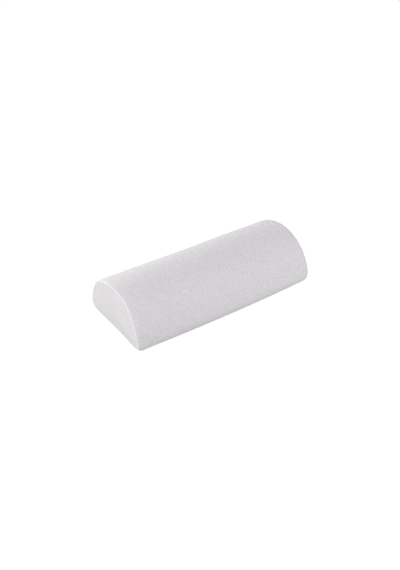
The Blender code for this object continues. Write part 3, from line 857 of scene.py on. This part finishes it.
def cover_cloth():
    """Short-napped cloth: soft clumps of pile a few millimetres across, pebbled loops and fine fibre on
    them, slow mottling."""
    plain, dark, pale = (0.666, 0.652, 0.673), (0.602, 0.588, 0.613), (0.726, 0.712, 0.730)
    paint = Paint("cover_fabric", plain, 0.92)
    paint.set("Sheen Weight", 0.18)
    paint.set("Sheen Roughness", 0.55)
    clumps = paint.noise(350, 1.0, 0.45)
    loops = paint.cells(640)
    fibre = paint.noise(2300, 3.0, 0.65)
    slow = paint.noise(26, 3.0, 0.55)
    tone = paint.ramp(paint.noise(420, 2.0, 0.6), (0.34, dark), (0.52, plain), (0.68, pale))
    tone = paint.blend(paint.span(slow, 0.0, 0.22, 0.35, 0.65), tone, (0.640, 0.627, 0.650))
    paint.bump(clumps, 0.0012, 0.9)
    paint.bump(paint.span(loops, 1.0, 0.0, 0.0, 0.75), 0.00048, 0.8)
    paint.bump(fibre, 0.00018, 0.8)
    return paint.done(tone, paint.span(fibre, 0.86, 0.98, 0.3, 0.7))


def piping_cloth_with_painted_highlight():
    """The same cloth cut on the bias round the cord: fine slanting ribs. It is painted paler than the cover
    cloth, a painted highlight along the seam's ridge, and painted darker in the ribs' valleys as painted
    shade.
    """
    # Paler than the cover cloth: painted highlight along the piped seam
    paint = Paint("seam_piping", (0.78, 0.765, 0.785), 0.90)
    paint.set("Sheen Weight", 0.18)
    paint.set("Sheen Roughness", 0.55)
    slant = paint.stretch((1, 1, 1), (0.6, 0.5, 0.8))
    ribs = paint.wave(420, "DIAGONAL", 1.2, slant)
    pile = paint.noise(1200, 2.0, 0.6)
    # Darker in the valleys of the ribs: painted shade; all of these tones are pale for the painted
    # highlight
    tone = paint.ramp(ribs, (0.1, (0.745, 0.730, 0.752)), (0.8, (0.805, 0.790, 0.810)))
    paint.bump(ribs, 0.00012, 0.6)
    paint.bump(pile, 0.00016, 0.7)
    return paint.done(tone, paint.span(pile, 0.84, 0.96, 0.3, 0.7))


def thread():
    """Two-ply sewing thread, painted darker in the grooves of its twist as painted shade."""
    paint = Paint("thread", (0.76, 0.745, 0.765), 0.6)
    paint.set("Sheen Weight", 0.1)
    twist = paint.wave(1500, "DIAGONAL", 0.6)
    paint.bump(twist, 0.00008, 0.7)
    # Darker where the twist's bump is low: painted shade in its grooves
    return paint.done(paint.ramp(twist, (0.1, (0.66, 0.645, 0.665)), (0.8, (0.80, 0.785, 0.80))))


def tape_cloth():
    """Herringbone tape: close ribs across it, in bands that lean both ways, painted darker in the weave's
    valleys as painted shade.
    """
    paint = Paint("zip_tape", (0.70, 0.69, 0.71), 0.8)
    bands = paint.wave(260, "Z", 0.2)
    ribs = paint.wave(900, "X", 0.4)
    lean = paint.wave(700, "DIAGONAL", 0.3)
    straight, slanted = paint.combine("MULTIPLY", ribs, 0.6), paint.combine("MULTIPLY", lean, bands)
    weave = paint.combine("ADD", straight, slanted)
    # Darker where the weave's bump is low: painted shade in its valleys
    tone = paint.ramp(weave, (0.2, (0.62, 0.61, 0.635)), (1.0, (0.74, 0.73, 0.75)))
    paint.bump(weave, 0.00016, 0.8)
    return paint.done(tone, paint.span(weave, 0.72, 0.9, 0.2, 1.2))


def moulded_teeth():
    """Moulded resin with a slight skin texture."""
    paint = Paint("zip_teeth", (0.60, 0.60, 0.61), 0.50)
    paint.set("Subsurface Weight", 0.08)
    paint.set("Subsurface Scale", 0.0008)
    skin = paint.noise(2200, 2.0, 0.5)
    slow = paint.noise(160, 2.0, 0.5)
    paint.bump(skin, 0.00003, 0.5)
    tone = paint.ramp(slow, (0.35, (0.56, 0.56, 0.575)), (0.65, (0.64, 0.64, 0.645)))
    return paint.done(tone, paint.span(skin, 0.44, 0.56, 0.3, 0.7))


def plated_metal():
    """Nickel plate with fine scratches along its length and duller, handled patches."""
    paint = Paint("zip_metal", (0.30, 0.295, 0.287), 0.55, 1.0)
    scratches = paint.noise(500, 3.0, 0.6, paint.stretch((0.12, 2.4, 2.4)))
    patches = paint.noise(420, 3.0, 0.6)
    tone = paint.ramp(patches, (0.3, (0.25, 0.245, 0.239)), (0.7, (0.34, 0.334, 0.325)))
    paint.bump(scratches, 0.00002, 0.5)
    dull = paint.span(patches, 0.48, 0.58, 0.3, 0.7)
    scratched = paint.span(scratches, 0.0, 0.08, 0.4, 0.6)
    return paint.done(tone, paint.combine("ADD", dull, scratched))


def liner_cloth():
    """Plain woven cotton."""
    paint = Paint("liner_fabric", (0.80, 0.785, 0.75), 0.88)
    warp = paint.wave(1000, "X", 0.5)
    weft = paint.wave(1000, "Z", 0.5)
    weave = paint.combine("MAXIMUM", warp, weft)
    slow = paint.noise(40, 2.0, 0.5)
    paint.bump(weave, 0.00015, 0.7)
    tone = paint.ramp(slow, (0.35, (0.765, 0.75, 0.715)), (0.65, (0.82, 0.805, 0.77)))
    return paint.done(tone, paint.span(weave, 0.82, 0.94))


def open_foam():
    """Cut open-cell foam; the pits of its cells are painted darker, as painted shade."""
    paint = Paint("foam", (0.83, 0.81, 0.70), 0.95)
    cells = paint.cells(900)
    big = paint.noise(90, 2.0, 0.5)
    paint.bump(cells, 0.0006, 0.9)
    # Darker where the bump sinks into the cells' pits: painted shade in the pores
    tone = paint.ramp(cells, (0.05, (0.62, 0.60, 0.50)), (0.5, (0.86, 0.84, 0.73)))
    return paint.done(paint.blend(paint.span(big, 0.0, 0.15, 0.35, 0.65), tone, (0.78, 0.76, 0.64)))


# Stage

def seen(tree):
    """1 for rays from the camera, from gloss and through glass."""
    path = tree.nodes.new("ShaderNodeLightPath")
    total = path.outputs["Is Camera Ray"]
    for name in ("Is Glossy Ray", "Is Transmission Ray"):
        join = tree.nodes.new("ShaderNodeMath")
        join.operation = "MAXIMUM"
        tree.links.new(total, join.inputs[0])
        tree.links.new(path.outputs[name], join.inputs[1])
        total = join.outputs["Value"]
    return total


def make_floor():
    """A plain pale floor that keeps the object's soft shadow; it glows only where rays from the camera,
    from gloss or through glass meet it."""
    bpy.ops.mesh.primitive_plane_add(size=16, location=(0, 0, -FLOOR_DROP))
    floor = bpy.context.object
    floor.name = "floor"
    material = bpy.data.materials.new("floor")
    material.use_nodes = True
    tree = material.node_tree
    shader = tree.nodes["Principled BSDF"]
    shader.inputs["Base Color"].default_value = (0.72, 0.72, 0.72, 1.0)
    shader.inputs["Roughness"].default_value = 0.9
    shader.inputs["Specular IOR Level"].default_value = 0.1
    glow = tree.nodes.new("ShaderNodeEmission")
    glow.inputs["Strength"].default_value = FLOOR_GLOW
    mix = tree.nodes.new("ShaderNodeMixShader")
    share = tree.nodes.new("ShaderNodeMath")
    share.operation = "MULTIPLY"
    share.inputs[1].default_value = FLOOR_GLOW_SHARE
    tree.links.new(seen(tree), share.inputs[0])
    tree.links.new(share.outputs["Value"], mix.inputs["Fac"])
    tree.links.new(shader.outputs["BSDF"], mix.inputs[1])
    tree.links.new(glow.outputs["Emission"], mix.inputs[2])
    tree.links.new(mix.outputs["Shader"], tree.nodes["Material Output"].inputs["Surface"])
    floor.data.materials.append(material)


def make_world():
    """Soft light from all round, faintly violet; the background itself is seen as white."""
    world = bpy.data.worlds.new("studio")
    bpy.context.scene.world = world
    world.use_nodes = True
    tree = world.node_tree
    light = tree.nodes["Background"]
    light.inputs["Color"].default_value = (0.98, 0.93, 1.0, 1.0)
    light.inputs["Strength"].default_value = AMBIENT
    white = tree.nodes.new("ShaderNodeBackground")
    white.inputs["Strength"].default_value = 1.0
    white.inputs["Color"].default_value = (1.0, 1.0, 1.0, 1.0)
    mix = tree.nodes.new("ShaderNodeMixShader")
    tree.links.new(seen(tree), mix.inputs["Fac"])
    tree.links.new(light.outputs["Background"], mix.inputs[1])
    tree.links.new(white.outputs["Background"], mix.inputs[2])
    tree.links.new(mix.outputs["Shader"], tree.nodes["World Output"].inputs["Surface"])


def make_lamp(name, azimuth, elevation, share, colour):
    """A square soft lamp that adds a share of the plain level where it shines straight on; the azimuth
    in degrees runs from the rear round by the left end."""
    distance, size = 1.7, 1.0
    turn, rise = math.radians(azimuth), math.radians(elevation)
    aim = Vector((-math.sin(turn) * math.cos(rise), math.cos(turn) * math.cos(rise), math.sin(rise)))
    lamp = bpy.data.lights.new(name, "AREA")
    lamp.size = size
    lamp.energy = share * math.pi**2 * distance**2
    lamp.color = colour
    item = bpy.data.objects.new(name, lamp)
    item.location = Vector((0, 0, HEIGHT / 2)) + aim * distance
    item.rotation_mode = "QUATERNION"
    item.rotation_quaternion = aim.to_track_quat("Z", "Y")
    bpy.context.scene.collection.objects.link(item)


def make_camera():
    """The photograph's view: from the front left and above."""
    azimuth, elevation, distance = -0.62146, 0.59291, 1.42592
    aim_height, shift_right, shift_up = 0.05, 0.0065, 0.02178
    right = Vector((math.cos(azimuth), math.sin(azimuth), 0))
    back = Vector((
        math.sin(azimuth) * math.cos(elevation),
        -math.cos(azimuth) * math.cos(elevation),
        math.sin(elevation),
    ))
    up = back.cross(right)
    data = bpy.data.cameras.new("camera")
    data.sensor_width = 36.0
    data.lens = 43.07
    camera = bpy.data.objects.new("camera", data)
    place = Vector((0, 0, aim_height)) - right * shift_right - up * shift_up + back * distance
    turn = Matrix((right, up, back)).transposed().to_4x4()
    camera.matrix_world = Matrix.Translation(place) @ turn
    bpy.context.scene.collection.objects.link(camera)
    bpy.context.scene.camera = camera


def make_stage():
    """The studio: surrounding light, floor, lamps and camera."""
    scene = bpy.context.scene
    scene.view_settings.view_transform = "Standard"
    make_world()
    make_floor()
    for values in LAMPS:
        make_lamp(*values)
    make_camera()


# Pieces

def make_cover(tree, cloth, edging_with_painted_highlight):
    """The panels, their piping and the zip's tabs."""
    top = dress(top_panel(tree), cloth, "cover", "cover_fabric", "cover_top_panel")
    base = dress(base_panel(tree), cloth, "cover", "cover_fabric", "cover_base_panel")
    for side, word in ((-1, "left"), (1, "right")):
        end = dress(end_panel(tree, side, word), cloth, "cover", "cover_fabric", f"cover_{word}_end_panel")
        dress(piping(side, word), edging_with_painted_highlight, "cover", "seam_piping", f"{word}_piping")
        dress(tab(tree, side, word), cloth, "cover", "cover_fabric", f"zip_{word}_tab")


def make_zip(tree):
    """The zip with its stitching. Its chain is split where it starts to part, into the end under the open
    slider and the rest."""
    yarn = thread()
    dress(hem_stitches(tree), yarn, "cover", "cover_fabric")
    dress(bar_tacks(tree), yarn, "cover", "cover_fabric")
    cloth, resin, metal = tape_cloth(), moulded_teeth(), plated_metal()
    for sign, word in ((1, "upper"), (-1, "lower")):
        dress(tape(sign, f"{word}_end", -TAPE_END, PARTING_START), cloth, "cover", "zip_tape")
        dress(double(f"zip_{word}_teeth", f"zip_teeth_{word}_end", -1), resin, "cover", "zip_teeth")
        strip = dress(tape(sign, word, PARTING_START, TAPE_END), cloth, "cover", "zip_tape",
                      f"zip_{word}_tape")
        teeth = dress(double(f"zip_{word}_teeth", f"zip_teeth_{word}", 1), resin, "cover", "zip_teeth",
                      f"zip_{word}_teeth")
        stop = dress(double(f"zip_top_stop_{word}", f"zip_stop_{word}", 1), metal, "cover", "zip_metal",
                     f"zip_top_stop_{word}")
        for item in (strip, teeth, stop):
            draws_back(item)
    for word in ("zip_bottom_stop", "zip_slider", "zip_pull"):
        finish_node(word, metal)


def make_fill():
    """The liner and the foam."""
    liner = dress(filled("liner", INNER_DEPTH), liner_cloth(), "cover", "liner_fabric",
                  "liner_wrap", "liner_left_end", "liner_right_end")
    foam = dress(filled("foam", FOAM_DEPTH), open_foam(), "cover", "foam", "foam_core")


def main():
    """Builds everything."""
    make_stage()
    tree = swollen_form()
    make_cover(tree, cover_cloth(), piping_cloth_with_painted_highlight())
    make_zip(tree)
    make_fill()


main()
